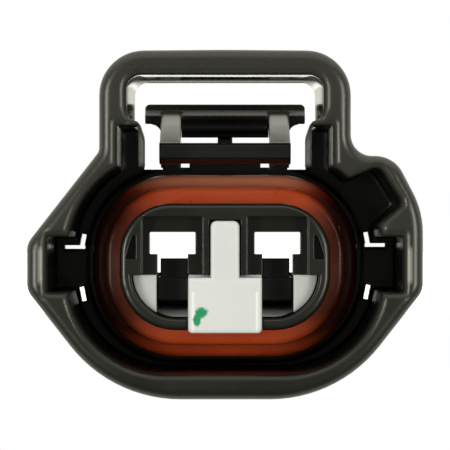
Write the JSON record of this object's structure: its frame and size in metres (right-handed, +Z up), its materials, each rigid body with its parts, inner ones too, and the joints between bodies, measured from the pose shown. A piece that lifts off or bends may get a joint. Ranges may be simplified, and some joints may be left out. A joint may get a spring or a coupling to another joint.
{
  "type": "sensor connector",
  "caption": "Sealed sensor connector housing with a keyed oval socket, a latch lever in a guard arch, a perimeter seal, a front retainer and rear wire entries",
  "frame": {"origin": "the mating axis, at the middle of the tower, in the plane of the hood's rim", "axes": "-Y is the way the mating face looks and the wires leave along +Y; +Z points up to the latch; +X is to the right as seen when looking into the socket"},
  "size_m": [0.0226, 0.028, 0.0198],
  "materials": {
    "housing_nylon": "moulded, satin",
    "seal_silicone": "moulded silicone, satin",
    "retainer_nylon": "moulded, natural white"
  },
  "bodies": {
    "housing": {"housing": "housing_nylon", "seal_ring": "seal_silicone"},
    "latch_lever": {"latch_lever": "housing_nylon"},
    "front_retainer": {"front_retainer": "retainer_nylon"}
  },
  "joints": [
    {"name": "latch_hinge", "type": "hinge", "parent": "housing", "child": "latch_lever", "pos_m": [0, 0.0107, 0.0062], "axis": [-1, 0, 0], "range_deg": [0, 10], "stiffness_Nm_per_rad": 0.3},
    {"name": "retainer_slide", "type": "slide", "parent": "housing", "child": "front_retainer", "axis": [0, -1, 0], "range_m": [0, 0.0015]}
  ]
}
